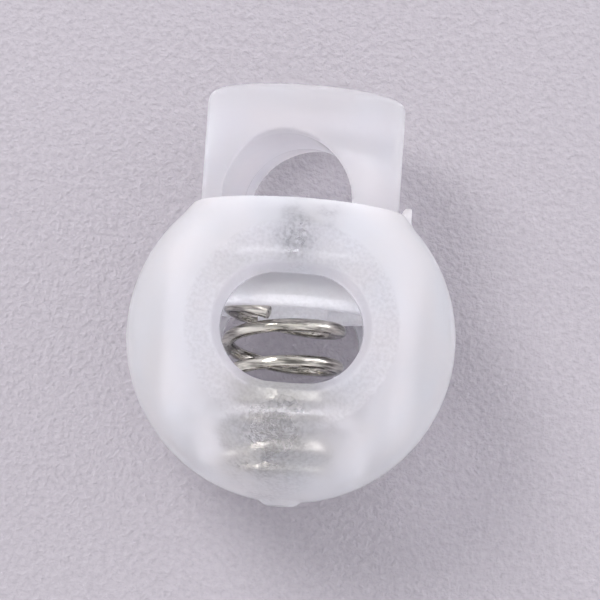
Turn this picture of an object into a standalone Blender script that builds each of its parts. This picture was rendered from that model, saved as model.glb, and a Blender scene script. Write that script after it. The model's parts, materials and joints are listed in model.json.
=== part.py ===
"""Ball cord lock: a moulded ball housing, a push-in plunger and the coil spring under it.

Run with: blender --background --python part.py

The lock lies on the flat back of its ball. +Z is up, along the cord hole, and +Y runs along the
plunger towards its button end. The origin is on the resting plane, under the middle of the lock's
bounding box. Sizes are in millimetres and become metres where a mesh is made.

Each piece is modelled upright about the plunger's axis: Z runs up the plunger with 0 at the ball's
centre, and -Y faces the front of the lock. An empty then lays the whole lock on its back.
"""

from math import asin, cos, pi, radians, sin

import bmesh
import bpy
from mathutils import Matrix

MM = 0.001

# Ball housing
BALL_R = 9.0
FACE_Y = 7.0             # the flat front and back faces, from the ball's centre
MOUTH_Z = 7.1            # rim that the plunger comes out of
MOUTH_R = 5.75           # outer radius of that rim
SHOULDER_ANGLE = 42.0    # latitude at which the ball runs out straight to the rim
GUIDE_R = 5.55           # upper bore, which guides the plunger
CHAMBER_R = 5.9          # wider bore below, in which the plunger's bead travels
STOP_Z = 4.05            # shoulder between the two bores, which keeps the plunger in
CHAMBER_FLOOR_Z = -4.4
POCKET_R = 4.1           # well that holds the foot of the spring
POCKET_FLOOR_Z = -7.6

# Cord hole through the ball: a rounded slot that opens out towards each face
SLOT_W = 7.7
SLOT_H = 5.86
FLARE = 0.5              # how far the slot opens out at the face
FLARE_DEPTH = 0.95

# Moulding marks on the ball
GATE_R = 1.0
GATE_TIP_R = 0.7
GATE_Z = -9.2            # foot of the broken-off gate under the ball
FLASH_IN_X = 5.62        # sliver of flash standing on the rim
FLASH_OUT_X = 6.1
FLASH_W = 2.0
FLASH_TOP_Z = 7.42

# Plunger
PLUNGER_R = 5.43
PLUNGER_TOP_Z = 13.65
DOME_RISE = 0.35         # the button end is slightly domed
TOP_ROUND = 0.45         # rounded edge of the button end
BEAD_R = 5.7             # snap bead round the foot
BEAD_TOP_Z = 3.9
BEAD_FOOT_Z = 2.2
FOOT_R = 5.2
FOOT_Z = 1.3
SEAT_OUT_R = 4.1         # ring-shaped recess that the spring's top coil sits in
SEAT_Z = 2.1
BOSS_R = 2.0             # centring boss inside the spring
BOSS_TIP_R = 1.85
BOSS_Z = 0.55
EYE_R = 3.7              # cord eye across the plunger
EYE_Z = 7.15
TWIST = -11.0            # the plunger stands turned by this about its axis, in degrees

# Compression spring
WIRE_R = 0.35
COIL_R = 3.05
COIL_X = -0.4            # the spring sits a little off the axis, inside its clearance
SEAT_GAP = 0.2
TOP_END_ANGLE = 253.0    # where the wire ends under the plunger, in degrees
TIP_TURNS = 0.2          # the wire's tip droops over this much of a turn
TIP_DROOP = 0.5
ACTIVE_TURNS = 4.05
CLOSED_TURNS = 0.8
CLOSED_PITCH = 0.76
LEAN = 0.35              # the free coils lean forwards by this
LEAN_TURNS = 0.6         # over which the lean comes and goes

TURN_STEPS = 48
ARC_STEP = 6.0           # degrees between points on the ball's outline
COIL_STEPS = 20          # points in one turn of the spring
SLOT_STEPS = 12          # points round each end of the slot
MERGE = 0.00001          # metres
OVERCUT = 1.0            # how far cutters stand past what they cut


def clear_scene():
    for obj in list(bpy.data.objects):
        bpy.data.objects.remove(obj, do_unlink=True)


def new_collection(name):
    collection = bpy.data.collections.new(name)
    bpy.context.scene.collection.children.link(collection)
    return collection


def plain_material(name, colour, roughness, metallic=0.0):
    material = bpy.data.materials.new(name)
    material.use_nodes = True
    shader = material.node_tree.nodes["Principled BSDF"]
    shader.inputs["Base Color"].default_value = (*colour, 1.0)
    shader.inputs["Roughness"].default_value = roughness
    shader.inputs["Metallic"].default_value = metallic
    return material


def object_of(name, data, collection):
    obj = bpy.data.objects.new(name, data)
    collection.objects.link(obj)
    return obj


def as_cutter(obj):
    obj.hide_render = True
    obj.display_type = "WIRE"
    return obj


def arc(centre, radius, start, end, steps):
    """Points (r, z) on an arc round centre, from start to end in degrees above the horizontal."""
    turns = [radians(start + (end - start) * i / steps) for i in range(steps + 1)]
    return [(centre[0] + radius * cos(a), centre[1] + radius * sin(a)) for a in turns]


def turned(name, profile, collection):
    """A solid turned round Z from (r, z) points that end on the axis and run down the outside."""
    mesh = bpy.data.meshes.new(name)
    points = [(r * MM, 0.0, z * MM) for r, z in profile]
    mesh.from_pydata(points, [(i, i + 1) for i in range(len(points) - 1)], [])
    obj = object_of(name, mesh, collection)
    screw = obj.modifiers.new("Turn", "SCREW")
    screw.axis = "Z"
    screw.steps = TURN_STEPS
    screw.render_steps = TURN_STEPS
    screw.use_merge_vertices = True
    screw.merge_threshold = MERGE
    return obj


def add_boolean(obj, cutter, operation):
    modifier = obj.modifiers.new(f"{operation.title()} {cutter.name}", "BOOLEAN")
    modifier.solver = "EXACT"
    modifier.operation = operation
    modifier.object = cutter


def block(name, low, high, collection):
    """A box between two corners in millimetres, as a hidden cutter."""
    mesh = bpy.data.meshes.new(name)
    shape = bmesh.new()
    size = [(b - a) * MM for a, b in zip(low, high)]
    middle = [(b + a) / 2 * MM for a, b in zip(low, high)]
    place = Matrix.Translation(middle) @ Matrix.Diagonal((*size, 1.0))
    bmesh.ops.create_cube(shape, size=1.0, matrix=place)
    shape.to_mesh(mesh)
    shape.free()
    return as_cutter(object_of(name, mesh, collection))


def frustum(name, r_low, r_high, z_low, z_high, collection, turn=None):
    """A cone or cylinder about Z, or about the axis that turn lays it along, as a hidden cutter."""
    mesh = bpy.data.meshes.new(name)
    shape = bmesh.new()
    place = Matrix.Translation((0.0, 0.0, (z_low + z_high) / 2 * MM))
    bmesh.ops.create_cone(
        shape,
        cap_ends=True,
        segments=TURN_STEPS,
        radius1=r_low * MM,
        radius2=r_high * MM,
        depth=(z_high - z_low) * MM,
        matrix=place if turn is None else turn @ place,
    )
    shape.to_mesh(mesh)
    shape.free()
    return as_cutter(object_of(name, mesh, collection))


def slot_ring(grow):
    """The slot's outline in X and Z, wider all round by grow."""
    end_r = SLOT_H / 2
    half_straight = SLOT_W / 2 - end_r
    ring = []
    for side in (1, -1):
        for i in range(SLOT_STEPS + 1):
            angle = pi * i / SLOT_STEPS - pi / 2
            x = side * (half_straight + (end_r + grow) * cos(angle))
            ring.append((x, side * (end_r + grow) * sin(angle)))
    return ring


def slot_cutter(collection):
    """The cord hole as a loft: straight in the middle and opening out beyond each face."""
    beyond = FACE_Y + OVERCUT
    grow = FLARE * (1 + OVERCUT / FLARE_DEPTH)
    stations = [(-beyond, grow), (FLARE_DEPTH - FACE_Y, 0.0), (FACE_Y - FLARE_DEPTH, 0.0), (beyond, grow)]
    shape = bmesh.new()
    rings = []
    for y, wider in stations:
        rings.append([shape.verts.new((x * MM, y * MM, z * MM)) for x, z in slot_ring(wider)])
    for ring, following in zip(rings, rings[1:]):
        for i in range(len(ring)):
            j = (i + 1) % len(ring)
            shape.faces.new((ring[i], ring[j], following[j], following[i]))
    shape.faces.new(rings[0])
    shape.faces.new(rings[-1])
    bmesh.ops.recalc_face_normals(shape, faces=shape.faces)
    mesh = bpy.data.meshes.new("cord_slot")
    shape.to_mesh(mesh)
    shape.free()
    return as_cutter(object_of("cord_slot", mesh, collection))


def housing_profile():
    """From the pocket's floor up the inside, over the rim and down the ball to its foot."""
    shoulder = SHOULDER_ANGLE
    inside = [
        (0.0, POCKET_FLOOR_Z),
        (POCKET_R - 0.4, POCKET_FLOOR_Z),
        (POCKET_R, POCKET_FLOOR_Z + 0.4),
        (POCKET_R, CHAMBER_FLOOR_Z - 0.3),
        (POCKET_R + 0.3, CHAMBER_FLOOR_Z),
        (CHAMBER_R, CHAMBER_FLOOR_Z),
        (CHAMBER_R, STOP_Z),
        (GUIDE_R, STOP_Z),
        (GUIDE_R, MOUTH_Z - 0.05),
        (GUIDE_R + 0.05, MOUTH_Z),
    ]
    upper = arc((0.0, 0.0), BALL_R, shoulder, 0.0, round(shoulder / ARC_STEP))
    lower = arc((0.0, 0.0), BALL_R, 0.0, -90.0, round(90.0 / ARC_STEP))
    return [*inside, (MOUTH_R, MOUTH_Z), *upper, *lower[1:-1], (0.0, -BALL_R)]


def make_housing(parts, cutters):
    housing = turned("ball_housing", housing_profile(), parts)
    reach = BALL_R + OVERCUT
    slab = block("face_slab", (-reach, -FACE_Y, -reach - 1), (reach, FACE_Y, reach + 1), cutters)
    gate = frustum("gate_scar", GATE_TIP_R, GATE_R, GATE_Z, 0.4 - BALL_R, cutters)
    flash_low = (FLASH_IN_X, -FLASH_W / 2, MOUTH_Z - 0.7)
    flash = block("rim_flash", flash_low, (FLASH_OUT_X, FLASH_W / 2, FLASH_TOP_Z), cutters)
    add_boolean(housing, slab, "INTERSECT")
    add_boolean(housing, slot_cutter(cutters), "DIFFERENCE")
    add_boolean(housing, gate, "UNION")
    add_boolean(housing, flash, "UNION")
    return housing


def dome_points():
    """The button end's outline: a shallow dome that a rounded edge joins to the side."""
    flat_r = PLUNGER_R - TOP_ROUND
    dome_r = (flat_r**2 + DOME_RISE**2) / (2 * DOME_RISE)
    centre_z = PLUNGER_TOP_Z - dome_r
    half_angle = asin(flat_r / dome_r)
    dome = []
    for i in range(5):
        angle = half_angle * i / 4
        dome.append((dome_r * sin(angle), centre_z + dome_r * cos(angle)))
    edge_z = PLUNGER_TOP_Z - DOME_RISE - TOP_ROUND
    edge = arc((flat_r, edge_z), TOP_ROUND, 90.0, 0.0, 4)
    return [*dome, *edge[1:]]


def plunger_profile():
    """From the top of the dome down the outside, then over the foot to the boss."""
    return [
        *dome_points(),
        (PLUNGER_R, BEAD_TOP_Z),
        (BEAD_R, BEAD_TOP_Z - 0.2),
        (BEAD_R, BEAD_FOOT_Z),
        (FOOT_R, FOOT_Z),
        (SEAT_OUT_R, FOOT_Z),
        (SEAT_OUT_R, SEAT_Z),
        (BOSS_R, SEAT_Z),
        (BOSS_TIP_R, BOSS_Z + 0.15),
        (BOSS_TIP_R - 0.15, BOSS_Z),
        (0.0, BOSS_Z),
    ]


def make_plunger(parts, cutters):
    plunger = turned("plunger", plunger_profile(), parts)
    reach = PLUNGER_R + OVERCUT
    along_y = Matrix.Translation((0.0, 0.0, EYE_Z * MM)) @ Matrix.Rotation(pi / 2, 4, "X")
    eye = frustum("cord_eye", EYE_R, EYE_R, -reach, reach, cutters, along_y)
    add_boolean(plunger, eye, "DIFFERENCE")
    for obj in (plunger, eye):
        obj.rotation_euler = (0.0, 0.0, radians(TWIST))
    return plunger


def eased(value):
    """0 below 0, 1 above 1, and a smooth rise between."""
    held = min(max(value, 0.0), 1.0)
    return held * held * (3.0 - 2.0 * held)


def coil_points():
    """The wire's centreline from its upper end down, as (x, y, z) in millimetres."""
    top_z = SEAT_Z - WIRE_R - SEAT_GAP
    foot_z = POCKET_FLOOR_Z + WIRE_R + SEAT_GAP
    pitch = (top_z - foot_z - CLOSED_TURNS * CLOSED_PITCH) / ACTIVE_TURNS
    free_end = TIP_TURNS + ACTIVE_TURNS
    total = free_end + CLOSED_TURNS
    steps = round(total * COIL_STEPS)
    points = []
    for i in range(steps + 1):
        turn = total * i / steps
        angle = radians(TOP_END_ANGLE - 360.0 * turn)
        z = top_z - TIP_DROOP * max(1.0 - turn / TIP_TURNS, 0.0) ** 2
        z -= pitch * min(max(turn - TIP_TURNS, 0.0), ACTIVE_TURNS)
        z -= CLOSED_PITCH * max(turn - free_end, 0.0)
        leaning = eased((turn - TIP_TURNS) / LEAN_TURNS) * eased((free_end - turn) / LEAN_TURNS)
        z -= LEAN * leaning * sin(angle)
        points.append((COIL_X + COIL_R * cos(angle), COIL_R * sin(angle), z))
    return points


def make_spring(parts):
    curve = bpy.data.curves.new("compression_spring", "CURVE")
    curve.dimensions = "3D"
    curve.bevel_depth = WIRE_R * MM
    curve.bevel_resolution = 2
    curve.use_fill_caps = True
    points = coil_points()
    spline = curve.splines.new("POLY")
    spline.points.add(len(points) - 1)
    for point, place in zip(spline.points, points):
        point.co = (*(value * MM for value in place), 1.0)
    return object_of("compression_spring", curve, parts)


def main():
    clear_scene()
    parts = new_collection("cord_lock")
    cutters = new_collection("cutters")
    plastic = plain_material("frosted_plastic", (0.82, 0.82, 0.85), 0.4)
    steel = plain_material("spring_steel", (0.62, 0.6, 0.56), 0.28, 1.0)

    housing = make_housing(parts, cutters)
    plunger = make_plunger(parts, cutters)
    spring = make_spring(parts)
    for obj, material in ((housing, plastic), (plunger, plastic), (spring, steel)):
        obj.data.materials.append(material)

    # The lock is laid on its back, with its bounding box centred over the origin.
    frame = object_of("lock_frame", None, parts)
    middle = (PLUNGER_TOP_Z + GATE_Z) / 2
    frame.location = (0.0, -middle * MM, FACE_Y * MM)
    frame.rotation_euler = (-pi / 2, 0.0, 0.0)
    for obj in [*parts.objects, *cutters.objects]:
        if obj is not frame:
            obj.parent = frame


main()
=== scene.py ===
"""Ball cord lock: the moulded ball, the plunger and the spring, with the stage they lie on."""

import json
from math import asin, cos, pi, radians, sin

import bpy
from bpy.props import FloatProperty, FloatVectorProperty, IntProperty, PointerProperty
from bpy.types import Operator, Panel, PropertyGroup
from mathutils import Matrix, Vector


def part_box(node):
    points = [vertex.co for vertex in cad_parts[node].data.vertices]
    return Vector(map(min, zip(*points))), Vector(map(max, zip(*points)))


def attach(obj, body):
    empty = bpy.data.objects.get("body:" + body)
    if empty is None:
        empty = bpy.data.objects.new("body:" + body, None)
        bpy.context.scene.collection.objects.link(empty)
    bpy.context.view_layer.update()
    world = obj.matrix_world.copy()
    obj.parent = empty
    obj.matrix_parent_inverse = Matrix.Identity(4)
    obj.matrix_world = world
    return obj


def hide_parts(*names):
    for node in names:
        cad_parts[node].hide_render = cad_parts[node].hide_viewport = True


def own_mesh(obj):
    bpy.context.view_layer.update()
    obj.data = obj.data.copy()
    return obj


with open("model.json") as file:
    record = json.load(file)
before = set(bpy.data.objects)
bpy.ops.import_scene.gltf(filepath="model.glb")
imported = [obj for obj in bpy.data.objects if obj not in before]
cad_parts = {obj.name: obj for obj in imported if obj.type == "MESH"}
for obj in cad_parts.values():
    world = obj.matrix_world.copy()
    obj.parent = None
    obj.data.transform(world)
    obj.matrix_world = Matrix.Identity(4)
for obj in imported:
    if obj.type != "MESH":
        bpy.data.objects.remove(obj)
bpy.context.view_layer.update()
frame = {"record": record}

bl_info = {
    "name": "Ball Cord Lock",
    "version": (1, 0, 0),
    "blender": (4, 5, 0),
    "location": "View3D > Sidebar > Cord Lock",
    "description": "Models a moulded ball cord lock with its plunger and spring",
    "category": "Object",
}

MM = 0.001
BALL_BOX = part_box("ball_housing")
PLUNGER_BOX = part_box("plunger")
JOINTS = {joint["name"]: joint for joint in frame["record"]["behaviour"]["joints"]}

# The plunger's axis runs along +Y through the middle of the ball. Heights are measured along it.
CENTRE = Vector(JOINTS["plunger_turn"]["pos_m"])
BALL_R = BALL_BOX[1][0]
FACE = BALL_BOX[1][2] - CENTRE.z
PLUNGER_TOP = PLUNGER_BOX[1][1] - CENTRE.y
PLUNGER_FOOT = 1.3 * MM

# Points closer than this count as one.
TOUCHING = 0.001 * MM

# Straight sides in a round shape.
ROUND_SIDES = 96
SMALL_SIDES = 64

# Places where the ball's wall over a hollow is thin enough to see through: the middle, the reach and the
# softness of an oval, in millimetres across and along the plunger's axis. There the sand's grains are
# also painted darker, as painted shade of the hollow behind the wall.
BALL_THIN_SHADED_ZONES = (
    ((-0.6, -5.7), (2.0, 2.4), 0.65),
    ((0.1, 4.9), (1.2, 1.2), 0.7),
)

# How many times a pattern repeats in a metre.
CLOUDS = 260.0
WANDERS = 700.0
WIRE_PATCHES = 900.0
PEBBLES = 2900.0
SAND_GRAINS = 5000.0

# The part of a noise pattern's values that is spread over a whole range. The narrower, the crisper.
CRISP = (0.35, 0.65)
MEDIUM = (0.3, 0.7)
BLURRED = (0.25, 0.75)

LIGHT_DISTANCE = 700 * MM
KEY_FROM = (-0.55, 0.55, 0.9)
FILL_FROM = (1.0, 0.3, 0.2)
KEY_TINT = (1.0, 0.985, 0.97)
FILL_TINT = (0.97, 0.98, 1.0)
SKY_TINT = (0.97, 0.965, 1.0)


# ---------------------------------------------------------------- settings


def length(name, description, default):
    return FloatProperty(name=name, description=description, default=default, unit="LENGTH", precision=5)


def angle(name, description, degrees):
    return FloatProperty(name=name, description=description, default=radians(degrees), subtype="ANGLE")


def share(name, description, default):
    return FloatProperty(
        name=name, description=description, default=default, subtype="FACTOR", min=0.0, max=1.0
    )


def amount(name, description, default):
    return FloatProperty(name=name, description=description, default=default, min=0.0)


def power(name, description, default):
    return FloatProperty(name=name, description=description, default=default, unit="POWER", min=0.0)


def count(name, description, default, lowest):
    return IntProperty(name=name, description=description, default=default, min=lowest)


def colour(name, description, default):
    return FloatVectorProperty(
        name=name, description=description, default=default, subtype="COLOR", min=0.0, max=1.0
    )


class BallSettings(PropertyGroup):
    mouth: length("Mouth", "Height of the rim above the ball's centre", 7.1 * MM)
    guide: length("Guide bore", "Radius of the bore that guides the plunger", 5.55 * MM)
    chamber: length("Chamber", "Radius of the bore that the bead travels in", 5.9 * MM)
    well: length("Spring well", "Radius of the well under the spring", 4.1 * MM)
    slot_w: length("Cord hole width", "Width of the oval cord hole", 7.7 * MM)
    slot_h: length("Cord hole height", "Height of the oval cord hole", 5.86 * MM)
    flare: length("Flare", "How far the cord hole opens out at the faces", 0.5 * MM)
    voxel: length("Skin", "Size of the faces that the moulded skin is made of", 0.145 * MM)
    soften: count("Soften", "Passes that round the moulded edges", 3, 0)


class PlungerSettings(PropertyGroup):
    radius: length("Radius", "Radius of the plunger's barrel", 5.43 * MM)
    bead: length("Bead", "Radius of the snap bead round the foot", 5.7 * MM)
    eye: length("Cord eye", "Radius of the cord hole at its narrowest", 3.5 * MM)
    eye_at: length("Eye height", "Height of the cord hole above the ball's centre", 7.15 * MM)
    twist: angle("Twist", "How far the plunger is turned", -11.0)
    voxel: length("Skin", "Size of the faces that the moulded skin is made of", 0.115 * MM)
    soften: count("Soften", "Passes that round the moulded edges", 5, 0)


class SpringSettings(PropertyGroup):
    wire: length("Wire", "Radius of the wire", 0.35 * MM)
    coil: length("Coil", "Radius of the coil at the wire's middle", 3.05 * MM)
    off_axis: length("Off axis", "How far the spring sits to the side", -0.4 * MM)
    steps: count("Steps", "Points in one turn of the coil", 48, 12)


class FinishSettings(PropertyGroup):
    plastic: colour("Plastic", "Colour of the frosted plastic", (0.975, 0.958, 0.97))
    cool: colour("Cool plastic", "Bluish tint that comes and goes in the plastic", (0.945, 0.955, 0.99))
    steel: colour("Steel", "Colour of the spring wire", (0.62, 0.592, 0.53))
    ball_rim: share("Ball rim", "Share of light that the ball's thick rim passes", 0.71)
    ball_skin: share("Ball skin", "Share of light that the ball's flats pass", 0.83)
    ball_core: share("Ball core", "Share of light that the ball's inner faces pass", 0.93)
    stem_skin: share("Plunger skin", "Share of light that the plunger passes", 0.88)
    stem_foot: share("Plunger foot", "Share of light that the plunger's foot passes", 0.3)
    clear: share("Clear", "Share of light that goes through the thin places", 0.88)
    frost: share("Frost", "Roughness of the satin outside", 0.4)
    sand: share("Sand", "How strongly the etched faces show", 0.32)
    # On the etched flats the dark grains are the sand's own; in the thin zones the same darkening is
    # painted shade of the hollows behind the wall.
    grain: share("Dark grain", "Share of light left by the sand's dark grains", 0.58)
    bend: amount("Bend", "How strongly the plastic bends light", 1.2)
    floor: colour("Floor", "Colour of the floor", (0.33, 0.309, 0.34))


class StageSettings(PropertyGroup):
    distance: length("Camera distance", "From the ball's middle to the camera", 250 * MM)
    elevation: angle("Elevation", "How high the camera stands", 84.4)
    roll: angle("Roll", "How far the camera is turned about its own line of sight", 4.0)
    lens: amount("Lens", "Focal length in millimetres", 274.2)
    aside: length("Aim aside", "How far right of the ball's middle the camera aims", 0.5 * MM)
    above: length("Aim above", "How far above the ball's middle the camera aims", 2.11 * MM)
    key: power("Key light", "Power of the key light", 3.6)
    key_size: length("Key size", "Width of the key light", 280 * MM)
    fill: power("Fill light", "Power of the fill light", 2.4)
    fill_size: length("Fill size", "Width of the fill light", 400 * MM)
    sky: amount("Sky light", "Strength of the light from above", 1.05)
    horizon: amount("Horizon light", "Strength of the light from the sides", 2.2)


class CordLockSettings(PropertyGroup):
    ball: PointerProperty(type=BallSettings)
    plunger: PointerProperty(type=PlungerSettings)
    spring: PointerProperty(type=SpringSettings)
    finish: PointerProperty(type=FinishSettings)
    stage: PointerProperty(type=StageSettings)


# ---------------------------------------------------------------- modelling by hand


def only(obj):
    """Selects one object and makes it active."""
    if bpy.context.object is not None and bpy.context.object.mode != "OBJECT":
        bpy.ops.object.mode_set(mode="OBJECT")
    bpy.ops.object.select_all(action="DESELECT")
    obj.select_set(True)
    bpy.context.view_layer.objects.active = obj


def settled(name):
    """Names the new primitive, and moves its place and turn into its mesh."""
    obj = bpy.context.object
    obj.name = name
    obj.data.name = name
    only(obj)
    bpy.ops.object.transform_apply(location=True, rotation=True, scale=True)
    return obj


def edit_all(obj):
    """Opens edit mode with every point picked."""
    only(obj)
    bpy.ops.object.mode_set(mode="EDIT")
    bpy.ops.mesh.select_mode(type="VERT")
    bpy.ops.mesh.select_all(action="SELECT")


def pick(obj, kind, wanted):
    """Opens edit mode with only the points (VERT) or the faces (FACE) that pass a test picked."""
    only(obj)
    bpy.ops.object.mode_set(mode="EDIT")
    bpy.ops.mesh.select_mode(type=kind)
    bpy.ops.mesh.select_all(action="DESELECT")
    bpy.ops.object.mode_set(mode="OBJECT")
    parts = obj.data.vertices if kind == "VERT" else obj.data.polygons
    for part in parts:
        part.select = wanted(part)
    bpy.ops.object.mode_set(mode="EDIT")


def done(obj):
    """Turns every face outwards and leaves edit mode."""
    bpy.ops.mesh.select_all(action="SELECT")
    bpy.ops.mesh.normals_make_consistent(inside=False)
    bpy.ops.object.mode_set(mode="OBJECT")
    return obj


def disc(name, radius, place, turn=(0.0, 0.0, 0.0), sides=ROUND_SIDES):
    """A filled circle, open for editing, to be drawn on from."""
    bpy.ops.object.select_all(action="DESELECT")
    bpy.ops.mesh.primitive_circle_add(
        vertices=sides, radius=radius, fill_type="NGON", location=place, rotation=turn
    )
    obj = settled(name)
    edit_all(obj)
    return obj


def draw_on(step, pivot, scale):
    """Extrudes what is picked by a step, and scales its new end about a point."""
    bpy.ops.mesh.extrude_region_move(TRANSFORM_OT_translate={"value": step})
    bpy.ops.transform.resize(value=scale, center_override=pivot)


def on_axis(height):
    return CENTRE + Vector((0.0, height, 0.0))


def drawn_out(name, stations, sides=ROUND_SIDES):
    """A round body about the plunger's axis: a disc drawn out through stations of (height, radius)."""
    height, radius = stations[0]
    obj = disc(name, radius, on_axis(height), (-pi / 2, 0.0, 0.0), sides)
    for next_height, next_radius in stations[1:]:
        scale = next_radius / radius
        draw_on((0.0, next_height - height, 0.0), on_axis(next_height), (scale, 1.0, scale))
        height, radius = next_height, next_radius
    return done(obj)


def rounded_edge(centre_height, centre_radius, rounding, start, end, steps=5):
    """Stations along a rounded edge, at angles above the horizontal, in degrees."""
    angles = [radians(start + (end - start) * i / steps) for i in range(steps + 1)]
    return [(centre_height + rounding * sin(a), centre_radius + rounding * cos(a)) for a in angles]


def slice_off(body, place, outward):
    """Cuts a body flat at a plane, and drops what lies beyond it."""
    edit_all(body)
    bpy.ops.mesh.bisect(
        plane_co=place, plane_no=outward, use_fill=True, clear_outer=True, threshold=TOUCHING
    )
    return done(body)


def cut(body, tool, operation="DIFFERENCE"):
    """Takes a tool's shape out of a body, or joins it on, and puts the tool away."""
    only(body)
    modifier = body.modifiers.new("Cut", "BOOLEAN")
    modifier.operation = operation
    modifier.solver = "EXACT"
    modifier.object = tool
    bpy.ops.object.modifier_apply(modifier=modifier.name)
    mesh = tool.data
    bpy.data.objects.remove(tool, do_unlink=True)
    bpy.data.meshes.remove(mesh)
    if not body.data.polygons:
        raise RuntimeError(f"the cut left nothing of {body.name}")


def moulded_skin(body, voxel, soften):
    """Gives a built-up body one even skin, and rounds its edges the way a moulding's are."""
    only(body)
    skin = body.modifiers.new("Skin", "REMESH")
    skin.mode = "VOXEL"
    skin.voxel_size = voxel
    bpy.ops.object.modifier_apply(modifier=skin.name)
    smooth = body.modifiers.new("Soften", "SMOOTH")
    smooth.factor = 0.5
    smooth.iterations = soften
    bpy.ops.object.modifier_apply(modifier=smooth.name)
    bpy.ops.object.shade_smooth()
    return body


# ---------------------------------------------------------------- the ball


def ball_blank(settings):
    """A ball with its two flats and its mouth sliced off."""
    bpy.ops.object.select_all(action="DESELECT")
    bpy.ops.mesh.primitive_uv_sphere_add(segments=160, ring_count=112, radius=BALL_R, location=CENTRE)
    ball = settled("moulded_ball")
    for side in (-1, 1):
        slice_off(ball, CENTRE + Vector((0.0, 0.0, side * FACE)), (0.0, 0.0, side))
    return slice_off(ball, on_axis(settings.mouth), (0.0, 1.0, 0.0))


def rim_collar(settings):
    """The short cone that carries the ball out to its rim."""
    root = (5.6 * MM, 6.9 * MM)
    waist = (6.2 * MM, 6.5 * MM)
    lip = (settings.mouth - 0.1 * MM, 5.88 * MM)
    top = (settings.mouth, 5.78 * MM)
    return drawn_out("rim_collar", [root, waist, lip, top])


def bore(settings):
    """What the moulding's core leaves inside: spring well, chamber and guide bore."""
    well, chamber, guide = settings.well, settings.chamber, settings.guide
    well_floor = -7.6 * MM
    chamber_floor = -4.4 * MM
    shoulder = 4.05 * MM
    bevel = 0.4 * MM
    return drawn_out(
        "bore",
        [
            (well_floor, well - 0.5 * MM),
            (well_floor + 0.5 * MM, well),
            (chamber_floor - bevel, well),
            (chamber_floor, well + bevel),
            (chamber_floor, chamber - bevel),
            (chamber_floor + bevel, chamber),
            (shoulder, chamber),
            (shoulder + 0.2 * MM, guide),
            (settings.mouth - 0.1 * MM, guide),
            (settings.mouth + 1.0 * MM, guide + 0.6 * MM),
        ],
    )


def cord_hole(settings):
    """The oval cord hole: a round tool pulled wide, that opens out beyond each flat."""
    end_r = settings.slot_h / 2
    pull = settings.slot_w / 2 - end_r
    flare_depth = 0.95 * MM
    straight = FACE - flare_depth
    beyond = FACE + 1.0 * MM
    off_middle = pull * 0.01
    facing = 0.9
    bpy.ops.object.select_all(action="DESELECT")
    bpy.ops.mesh.primitive_cylinder_add(
        vertices=ROUND_SIDES, radius=end_r, depth=2 * straight, location=CENTRE
    )
    tool = settled("cord_hole")
    for side in (-1, 1):
        pick(tool, "VERT", lambda point: (point.co - CENTRE).x * side > off_middle)
        bpy.ops.transform.translate(value=(side * pull, 0.0, 0.0))
    grow = settings.flare * (beyond - straight) / (FACE - straight)
    wide = (settings.slot_w / 2 + grow) / (settings.slot_w / 2)
    high = (end_r + grow) / end_r
    for side in (-1, 1):
        pick(tool, "FACE", lambda face: face.normal.z * side > facing)
        step = (0.0, 0.0, side * (beyond - straight))
        draw_on(step, CENTRE + Vector((0.0, 0.0, side * beyond)), (wide, high, 1.0))
    return done(tool)


def gate_scar():
    """The rough stub under the ball where it was torn off its runner."""
    tip = (-BALL_R - 0.19 * MM, 0.8 * MM)
    shoulder = (-BALL_R - 0.12 * MM, 1.0 * MM)
    root = (-BALL_R + 0.6 * MM, 1.05 * MM)
    return drawn_out("gate_scar", [tip, shoulder, root], sides=24)


def rim_flash(settings):
    """A sliver of flash that stands on the rim."""
    aside = 5.85 * MM
    sunk = 0.2 * MM
    size = (0.56 * MM, 1.2 * MM, 2.0 * MM)
    bpy.ops.object.select_all(action="DESELECT")
    bpy.ops.mesh.primitive_cube_add(
        size=1.0, location=CENTRE + Vector((aside, settings.mouth - sunk, 0.0))
    )
    bpy.context.object.scale = size
    return settled("rim_flash")


class MOULD_OT_ball(Operator):
    """Model the ball housing with its bore, cord hole and moulding marks"""

    bl_idname = "mould.ball"
    bl_label = "Ball Housing"

    def execute(self, context):
        settings = context.scene.cord_lock.ball
        ball = ball_blank(settings)
        cut(ball, rim_collar(settings), "UNION")
        cut(ball, gate_scar(), "UNION")
        cut(ball, rim_flash(settings), "UNION")
        cut(ball, bore(settings))
        cut(ball, cord_hole(settings))
        moulded_skin(ball, settings.voxel, settings.soften)
        ball.data.materials.clear()
        finish = context.scene.cord_lock.finish
        plastic = frosted_plastic(
            "frosted_ball_plastic",
            finish,
            (finish.ball_rim, finish.ball_skin, finish.ball_core),
            BALL_THIN_SHADED_ZONES,
            inside_of_ball,
            sandy_on_ball,
        )
        ball.data.materials.append(plastic)
        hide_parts("ball_housing")
        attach(ball, "housing")
        return {"FINISHED"}


# ---------------------------------------------------------------- the plunger


def plunger_blank(settings):
    """The turned outside of the plunger: foot, bead, barrel, rounded edge and shallow dome."""
    barrel = settings.radius
    round_r = 0.45 * MM
    dome = 0.35 * MM
    dome_rings = 5
    flat_r = barrel - round_r
    dome_r = (flat_r**2 + dome**2) / (2 * dome)
    half = asin(flat_r / dome_r)
    edge = rounded_edge(PLUNGER_TOP - dome - round_r, flat_r, round_r, 0.0, 85.0)
    cap = []
    for i in range(1, dome_rings + 1):
        lean = half * (1 - i / (dome_rings + 0.2))
        cap.append((PLUNGER_TOP - dome_r + dome_r * cos(lean), dome_r * sin(lean)))
    return drawn_out(
        "moulded_plunger",
        [
            (PLUNGER_FOOT, 5.1 * MM),
            (PLUNGER_FOOT + 0.1 * MM, 5.22 * MM),
            (2.3 * MM, settings.bead),
            (3.6 * MM, settings.bead),
            (3.9 * MM, barrel),
            *edge,
            *cap,
        ],
    )


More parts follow.
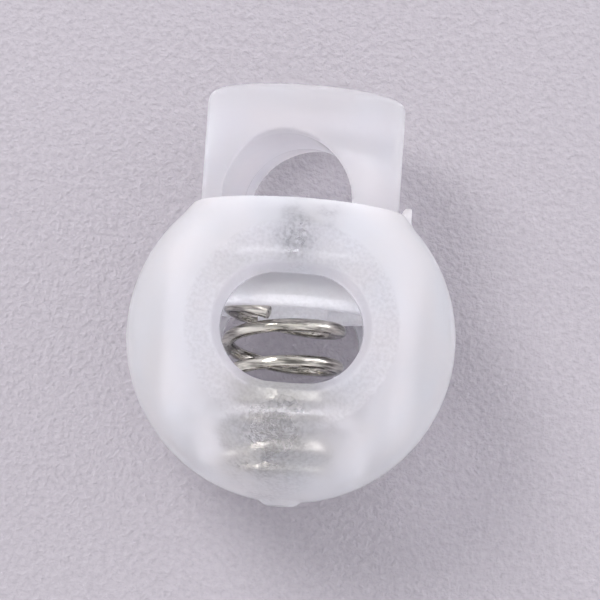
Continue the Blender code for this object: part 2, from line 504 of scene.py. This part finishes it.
def seat_ring():
    """The ring-shaped recess for the spring's top coil, as a tool."""
    roof = 2.1 * MM
    ring = drawn_out("seat_ring", [(PLUNGER_FOOT - 1.0 * MM, 4.1 * MM), (roof, 4.1 * MM)], SMALL_SIDES)
    below = PLUNGER_FOOT - 1.1 * MM
    core = drawn_out("seat_core", [(below, 1.85 * MM), (roof + 0.2 * MM, 2.05 * MM)], SMALL_SIDES)
    cut(ring, core)
    return ring


def boss():
    """The stub under the plunger that the spring's top coil sits round."""
    tip = (0.55 * MM, 1.7 * MM)
    bevel = (0.7 * MM, 1.86 * MM)
    root = (2.4 * MM, 2.0 * MM)
    return drawn_out("boss", [tip, bevel, root], SMALL_SIDES)


def cord_eye(settings):
    """The cord hole's tool: two tapered cores that meet at a ridge, the back one drifting upwards."""
    # Each station has its depth from the middle, its rise and how much wider than the eye it is.
    stations = (
        (-6.6 * MM, 0.62 * MM, 0.14 * MM),
        (-5.3 * MM, 0.42 * MM, 0.05 * MM),
        (-1.62 * MM, 0.12 * MM, 0.03 * MM),
        (-1.6 * MM, 0.06 * MM, 0.0),
        (4.6 * MM, -0.05 * MM, 0.08 * MM),
        (5.4 * MM, -0.05 * MM, 0.2 * MM),
        (6.6 * MM, -0.05 * MM, 0.6 * MM),
    )
    depth, rise, wider = stations[0]
    radius = settings.eye + wider
    tool = disc("cord_eye", radius, CENTRE + Vector((0.0, settings.eye_at + rise, depth)))
    for next_depth, next_rise, wider in stations[1:]:
        scale = (settings.eye + wider) / radius
        pivot = CENTRE + Vector((0.0, settings.eye_at + next_rise, next_depth))
        draw_on((0.0, next_rise - rise, next_depth - depth), pivot, (scale, scale, 1.0))
        depth, rise, radius = next_depth, next_rise, settings.eye + wider
    return done(tool)


class MOULD_OT_plunger(Operator):
    """Model the push-in plunger with its cord eye, bead and spring seat"""

    bl_idname = "mould.plunger"
    bl_label = "Plunger"

    def execute(self, context):
        settings = context.scene.cord_lock.plunger
        plunger = plunger_blank(settings)
        cut(plunger, seat_ring())
        cut(plunger, boss(), "UNION")
        cut(plunger, cord_eye(settings))
        moulded_skin(plunger, settings.voxel, settings.soften)
        twist = Matrix.Rotation(settings.twist, 4, "Y")
        plunger.matrix_world = Matrix.Translation(CENTRE) @ twist @ Matrix.Translation(-CENTRE)
        only(plunger)
        bpy.ops.object.transform_apply(location=True, rotation=True, scale=True)
        plunger.data.materials.clear()
        finish = context.scene.cord_lock.finish
        plastic = frosted_plastic(
            "frosted_plunger_plastic",
            finish,
            (finish.stem_skin, finish.stem_skin, finish.stem_foot),
            (),
            inside_of_plunger,
            inside_of_plunger,
        )
        plunger.data.materials.append(plastic)
        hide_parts("plunger")
        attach(plunger, "plunger")
        return {"FINISHED"}


# ---------------------------------------------------------------- the spring


def eased(value):
    """Rises smoothly from 0 to 1 as the value does."""
    held = min(max(value, 0.0), 1.0)
    return held * held * (3.0 - 2.0 * held)


def coil_route(settings):
    """Points down the wire's middle, from its end under the plunger to its foot in the well."""
    top = 1.55 * MM
    foot = -7.05 * MM
    start = 253.0
    tip_turns = 0.2
    tip_drop = 0.5 * MM
    active = 4.05
    closed = 0.8
    closed_pitch = 0.76 * MM
    lean = 0.35 * MM
    lean_turns = 0.6
    pitch = (top - foot - closed * closed_pitch) / active
    free_end = tip_turns + active
    total = free_end + closed
    points = round(total * settings.steps)
    route = []
    for i in range(points + 1):
        turn = total * i / points
        bearing = radians(start - 360.0 * turn)
        height = top - tip_drop * max(1.0 - turn / tip_turns, 0.0) ** 2
        height -= pitch * min(max(turn - tip_turns, 0.0), active)
        height -= closed_pitch * max(turn - free_end, 0.0)
        leaning = eased((turn - tip_turns) / lean_turns) * eased((free_end - turn) / lean_turns)
        height -= lean * leaning * sin(bearing)
        x = settings.off_axis + settings.coil * cos(bearing)
        route.append(CENTRE + Vector((x, height, -settings.coil * sin(bearing))))
    return route


class MOULD_OT_spring(Operator):
    """Wind the compression spring"""

    bl_idname = "mould.spring"
    bl_label = "Spring"

    def execute(self, context):
        settings = context.scene.cord_lock.spring
        route = coil_route(settings)
        bpy.ops.object.select_all(action="DESELECT")
        bpy.ops.curve.primitive_nurbs_path_add(location=(0.0, 0.0, 0.0))
        coil = bpy.context.object
        coil.name = "coil_spring"
        wire = coil.data
        wire.splines.clear()
        spline = wire.splines.new("POLY")
        spline.points.add(len(route) - 1)
        for point, place in zip(spline.points, route):
            point.co = (*place, 1.0)
        wire.bevel_depth = settings.wire
        wire.bevel_resolution = 6
        wire.use_fill_caps = True
        only(coil)
        bpy.ops.object.convert(target="MESH")
        coil = bpy.context.object
        edit_all(coil)
        bpy.ops.mesh.remove_doubles(threshold=TOUCHING)
        done(coil)
        only(coil)
        bpy.ops.object.shade_smooth_by_angle(angle=radians(50.0))
        coil.data.materials.clear()
        steel = drawn_steel("drawn_steel_wire", context.scene.cord_lock.finish, settings)
        coil.data.materials.append(steel)
        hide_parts("compression_spring")
        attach(coil, "spring")
        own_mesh(coil)
        return {"FINISHED"}


# ---------------------------------------------------------------- finishes


def node(tree, kind, **values):
    made = tree.nodes.new(kind)
    for key, value in values.items():
        setattr(made, key, value)
    return made


def put(tree, socket, value):
    """Links another node's result to a socket, or sets the socket to a number."""
    if hasattr(value, "links"):
        tree.links.new(value, socket)
    else:
        socket.default_value = value


def worked(tree, operation, first, second=None):
    """The result of one step of arithmetic on node results or numbers."""
    made = node(tree, "ShaderNodeMath", operation=operation)
    put(tree, made.inputs[0], first)
    if second is not None:
        put(tree, made.inputs[1], second)
    return made.outputs[0]


def ranged(tree, value, low, high, start=0.0, end=1.0):
    """Moves a value from the range start..end to the range low..high."""
    made = node(tree, "ShaderNodeMapRange")
    put(tree, made.inputs["Value"], value)
    made.inputs["From Min"].default_value = start
    made.inputs["From Max"].default_value = end
    put(tree, made.inputs["To Min"], low)
    put(tree, made.inputs["To Max"], high)
    return made.outputs["Result"]


def mixed(tree, factor, first, second, blend="MIX"):
    """One colour laid over another by a factor."""
    made = node(tree, "ShaderNodeMix", data_type="RGBA", blend_type=blend)
    put(tree, made.inputs["Factor"], factor)
    put(tree, made.inputs["A"], first)
    put(tree, made.inputs["B"], second)
    return made.outputs["Result"]


def shade(tint, share_kept=1.0):
    """A tint with its full opacity, darker or lighter by a share."""
    return (*(value * share_kept for value in tint), 1.0)


def new_material(name):
    material = bpy.data.materials.new(name)
    material.use_nodes = True
    tree = material.node_tree
    return material, tree, tree.nodes["Principled BSDF"]


def noise(tree, place, scale, detail=2.0, rough=0.5):
    made = node(tree, "ShaderNodeTexNoise")
    tree.links.new(place, made.inputs["Vector"])
    made.inputs["Scale"].default_value = scale
    made.inputs["Detail"].default_value = detail
    made.inputs["Roughness"].default_value = rough
    return made.outputs["Fac"]


def bump(tree, height, distance, strength):
    made = node(tree, "ShaderNodeBump")
    made.inputs["Distance"].default_value = distance
    made.inputs["Strength"].default_value = strength
    tree.links.new(height, made.inputs["Height"])
    return made.outputs["Normal"]


def distances(tree):
    """Sideways, along and upward distance from the ball's middle, in millimetres."""
    place = node(tree, "ShaderNodeTexCoord").outputs["Object"]
    local = node(tree, "ShaderNodeMapping")
    tree.links.new(place, local.inputs["Vector"])
    local.inputs["Scale"].default_value = (1 / MM, 1 / MM, 1 / MM)
    local.inputs["Location"].default_value = -CENTRE / MM
    parts = node(tree, "ShaderNodeSeparateXYZ")
    tree.links.new(local.outputs["Vector"], parts.inputs["Vector"])
    return place, parts.outputs


def length_of(tree, *parts):
    """The length of a vector, from two or three of its parts."""
    total = None
    for part in parts:
        squared = worked(tree, "MULTIPLY", part, part)
        total = squared if total is None else worked(tree, "ADD", total, squared)
    return worked(tree, "SQRT", total)


def blob(tree, across, along, middle, reach, edge):
    """1 inside an upright oval about (across, along) = middle, falling to 0 over its soft edge."""
    dx = worked(tree, "DIVIDE", worked(tree, "SUBTRACT", across, middle[0]), reach[0])
    dy = worked(tree, "DIVIDE", worked(tree, "SUBTRACT", along, middle[1]), reach[1])
    return ranged(tree, length_of(tree, dx, dy), 1.0, 0.0, 1.0 - edge, 1.0 + edge)


# Each mask below is worked out from the place, in millimetres, and changes between two distances.


def inside_of_ball(tree, across, along, up):
    """1 on the faces that the mould's cores left: the bore, the well and the cord hole with its flare."""
    bore_edge = (6.0, 6.4)
    skin_edge = (8.7, 8.85)
    hole_edge = (4.6, 5.0)
    flat_edge = (6.75, 6.95)
    near_axis = ranged(tree, length_of(tree, across, up), 1.0, 0.0, *bore_edge)
    within = ranged(tree, length_of(tree, across, along, up), 1.0, 0.0, *skin_edge)
    bore_faces = worked(tree, "MULTIPLY", near_axis, within)
    near_hole = ranged(tree, length_of(tree, across, along), 1.0, 0.0, *hole_edge)
    below_flats = ranged(tree, worked(tree, "ABSOLUTE", up), 1.0, 0.0, *flat_edge)
    hole_faces = worked(tree, "MULTIPLY", near_hole, below_flats)
    return worked(tree, "MAXIMUM", bore_faces, hole_faces)


def sandy_on_ball(tree, across, along, up):
    """1 on the two etched flats."""
    flat_edge = (6.85, 6.97)
    return ranged(tree, worked(tree, "ABSOLUTE", up), 0.0, 1.0, *flat_edge)


def inside_of_plunger(tree, across, along, up):
    """1 on the plunger's foot, which stays inside the ball."""
    foot_edge = (0.9, 2.6)
    return ranged(tree, along, 1.0, 0.0, *foot_edge)


def thin_shaded_places(tree, place, across, along, zones):
    """1 where the wall is thin enough to see through, in ovals with wandering edges. The plastic's grains
    are painted darker there, as painted shade of the hollow behind.
    """
    wander = ranged(tree, noise(tree, place, WANDERS), -0.9, 0.9, *BLURRED)
    across = worked(tree, "ADD", across, wander)
    along = worked(tree, "ADD", along, wander)
    thin = 0.0
    for middle, reach, edge in zones:
        thin = worked(tree, "MAXIMUM", thin, blob(tree, across, along, middle, reach, edge))
    return thin


def frosted_plastic(name, finish, shares, thin_shaded_zones, inside_of, sandy_on):
    """Milky, half-clear polypropylene: satin outside, sand-grained where the mould was etched, and with
    grains painted darker, as painted shade, where a thin wall lies over a hollow.

    shares are the parts of the light that pass the thick rim, the skin over the middle and the inner
    faces. The zones are the ovals of thin wall. inside_of and sandy_on mask inner and etched faces.
    """
    rim_from, rim_to = 5.2, 7.6
    thin_frost = 0.6
    inner_sand = 0.4
    material, tree, shader = new_material(name)
    place, (across, along, up) = distances(tree)
    inside = inside_of(tree, across, along, up)
    rim, skin, core = shares
    outside = ranged(tree, length_of(tree, across, along), skin, rim, rim_from, rim_to)
    thin = thin_shaded_places(tree, place, across, along, thin_shaded_zones)
    etched = worked(tree, "MULTIPLY", sandy_on(tree, across, along, up), finish.sand)
    sand_and_painted_shade = worked(tree, "MAXIMUM", thin, etched)
    cloud = noise(tree, place, CLOUDS, 3.0)
    grain = ranged(tree, noise(tree, place, SAND_GRAINS, 1.0), 0.0, 1.0, *CRISP)

    cloudy = ranged(tree, cloud, 0.0, 1.0, *CRISP)
    tint = mixed(tree, cloudy, shade(finish.plastic), shade(finish.cool))
    # In the thin zones these darker grains are painted shade of the hollow behind the wall; on the etched
    # flats they are the sand's own grain.
    grain_and_painted_shade = ranged(tree, grain, 1.0, finish.grain, 1.0, 0.0)
    speckled_and_painted_shade = mixed(tree, sand_and_painted_shade, tint, grain_and_painted_shade, "MULTIPLY")
    tree.links.new(speckled_and_painted_shade, shader.inputs["Base Color"])

    clear = ranged(tree, thin, ranged(tree, inside, outside, core), finish.clear)
    tree.links.new(clear, shader.inputs["Transmission Weight"])
    frost = ranged(tree, thin, finish.frost, finish.frost * thin_frost)
    patchy = ranged(tree, cloud, -0.04, 0.04, *MEDIUM)
    tree.links.new(worked(tree, "ADD", frost, patchy), shader.inputs["Roughness"])
    shader.inputs["IOR"].default_value = finish.bend

    gritty = worked(tree, "MAXIMUM", sand_and_painted_shade, worked(tree, "MULTIPLY", inside, inner_sand))
    sand = worked(tree, "MULTIPLY", grain, gritty)
    tree.links.new(bump(tree, sand, 0.04 * MM, 0.7), shader.inputs["Normal"])
    return material


def drawn_steel(name, finish, spring):
    """Drawn wire: painted reflections in dark and light lines that run along the coil, and a
    straw-coloured sheen.
    """
    stretched = 0.35
    reflection_streaks = 5.0
    reflection_streak_edge = (0.35, 0.6)
    dark_reflection = 0.2
    material, tree, shader = new_material(name)
    place, (across, along, up) = distances(tree)
    across = worked(tree, "SUBTRACT", across, spring.off_axis / MM)
    round_coil = worked(tree, "MULTIPLY", worked(tree, "ARCTAN2", up, across), stretched)
    route = node(tree, "ShaderNodeCombineXYZ")
    tree.links.new(length_of(tree, across, up), route.inputs["X"])
    tree.links.new(along, route.inputs["Y"])
    tree.links.new(round_coil, route.inputs["Z"])
    reflection_streak = noise(tree, route.outputs["Vector"], reflection_streaks, 3.0, 0.6)
    patch = noise(tree, place, WIRE_PATCHES, 3.0)
    # The lines along the wire are painted reflection: the wire's colour drops to a fifth in the dark
    # ones.
    bright_reflection = ranged(tree, reflection_streak, 0.0, 1.0, *reflection_streak_edge)
    tint = mixed(tree, bright_reflection, shade(finish.steel, dark_reflection), shade(finish.steel))
    tree.links.new(tint, shader.inputs["Base Color"])
    shader.inputs["Metallic"].default_value = 1.0
    tree.links.new(ranged(tree, patch, 0.07, 0.2, *MEDIUM), shader.inputs["Roughness"])
    tree.links.new(bump(tree, reflection_streak, 0.06 * MM, 0.6), shader.inputs["Normal"])
    return material


def pebbled_floor(name, finish):
    """A pale matt sheet with a fine pebbled grain."""
    material, tree, shader = new_material(name)
    place = node(tree, "ShaderNodeTexCoord").outputs["Object"]
    grain = noise(tree, place, PEBBLES, 2.0, 0.6)
    high = ranged(tree, grain, 0.0, 1.0, *MEDIUM)
    tint = mixed(tree, high, shade(finish.floor, 0.92), shade(finish.floor, 1.06))
    tree.links.new(tint, shader.inputs["Base Color"])
    shader.inputs["Roughness"].default_value = 0.7
    tree.links.new(bump(tree, grain, 0.2 * MM, 0.8), shader.inputs["Normal"])
    return material


# ---------------------------------------------------------------- the stage


def area_light(name, direction, size, watts, tint):
    """A square soft light that faces the ball from a direction."""
    bpy.ops.object.select_all(action="DESELECT")
    away = Vector(direction).normalized()
    bpy.ops.object.light_add(type="AREA", location=CENTRE + away * LIGHT_DISTANCE)
    lamp = bpy.context.object
    lamp.name = name
    lamp.rotation_mode = "QUATERNION"
    lamp.rotation_quaternion = (-away).to_track_quat("-Z", "Y")
    lamp.data.size = size
    lamp.data.energy = watts
    lamp.data.color = tint


def stage_camera(settings):
    """A camera over the ball, turned a little about its own line of sight and aimed off the middle."""
    bpy.ops.object.select_all(action="DESELECT")
    elevation = settings.elevation
    back = Vector((0.0, -cos(elevation), sin(elevation)))
    level = Vector((1.0, 0.0, 0.0))
    upright = back.cross(level)
    right = level * cos(settings.roll) + upright * sin(settings.roll)
    up = upright * cos(settings.roll) - level * sin(settings.roll)
    eye = CENTRE + back * settings.distance
    aim = CENTRE + right * settings.aside + up * settings.above
    backward = (eye - aim).normalized()
    side = up.cross(backward).normalized()
    bpy.ops.object.camera_add(location=eye)
    camera = bpy.context.object
    camera.name = "camera"
    turn = Matrix((side, backward.cross(side), backward)).transposed()
    camera.rotation_mode = "QUATERNION"
    camera.rotation_quaternion = turn.to_quaternion()
    camera.data.lens = settings.lens
    camera.data.clip_start = 0.01
    bpy.context.scene.camera = camera


def soft_room(scene, settings):
    """Even light from all round, stronger from the sides than from above."""
    world = bpy.data.worlds.new("soft_room")
    world.use_nodes = True
    tree = world.node_tree
    background = tree.nodes["Background"]
    background.inputs["Color"].default_value = shade(SKY_TINT)
    direction = node(tree, "ShaderNodeSeparateXYZ")
    tree.links.new(node(tree, "ShaderNodeTexCoord").outputs["Generated"], direction.inputs["Vector"])
    climb = ranged(tree, direction.outputs["Z"], settings.horizon, settings.sky, 0.0, 0.6)
    tree.links.new(climb, background.inputs["Strength"])
    scene.world = world


class MOULD_OT_stage(Operator):
    """Set the floor, the soft lights and the camera"""

    bl_idname = "mould.stage"
    bl_label = "Stage"

    def execute(self, context):
        settings = context.scene.cord_lock.stage
        stage_camera(settings)
        bpy.ops.object.select_all(action="DESELECT")
        bpy.ops.mesh.primitive_plane_add(size=1.2, location=(0.0, 0.0, -0.02 * MM))
        floor = settled("floor")
        floor.data.materials.append(pebbled_floor("pebbled_floor", context.scene.cord_lock.finish))
        area_light("key_light", KEY_FROM, settings.key_size, settings.key, KEY_TINT)
        area_light("fill_light", FILL_FROM, settings.fill_size, settings.fill, FILL_TINT)
        soft_room(context.scene, settings)
        context.scene.view_settings.view_transform = "Standard"
        return {"FINISHED"}


class VIEW3D_PT_cord_lock(Panel):
    """The add-on's page in the sidebar"""

    bl_label = "Cord Lock"
    bl_idname = "VIEW3D_PT_cord_lock"
    bl_space_type = "VIEW_3D"
    bl_region_type = "UI"
    bl_category = "Cord Lock"

    def draw(self, context):
        """Lists each piece's sizes with the button that models it."""
        layout = self.layout
        settings = context.scene.cord_lock
        for group, operator in (
            (settings.ball, "mould.ball"),
            (settings.plunger, "mould.plunger"),
            (settings.spring, "mould.spring"),
            (settings.finish, None),
            (settings.stage, "mould.stage"),
        ):
            box = layout.box()
            for name in group.__annotations__:
                box.prop(group, name)
            if operator:
                box.operator(operator)


CLASSES = (
    BallSettings,
    PlungerSettings,
    SpringSettings,
    FinishSettings,
    StageSettings,
    CordLockSettings,
    MOULD_OT_ball,
    MOULD_OT_plunger,
    MOULD_OT_spring,
    MOULD_OT_stage,
    VIEW3D_PT_cord_lock,
)


def register():
    for cls in CLASSES:
        bpy.utils.register_class(cls)
    bpy.types.Scene.cord_lock = PointerProperty(type=CordLockSettings)


def unregister():
    del bpy.types.Scene.cord_lock
    for cls in reversed(CLASSES):
        bpy.utils.unregister_class(cls)


def main():
    register()
    bpy.ops.mould.stage()
    bpy.ops.mould.ball()
    bpy.ops.mould.plunger()
    bpy.ops.mould.spring()


if __name__ == "__main__":
    main()
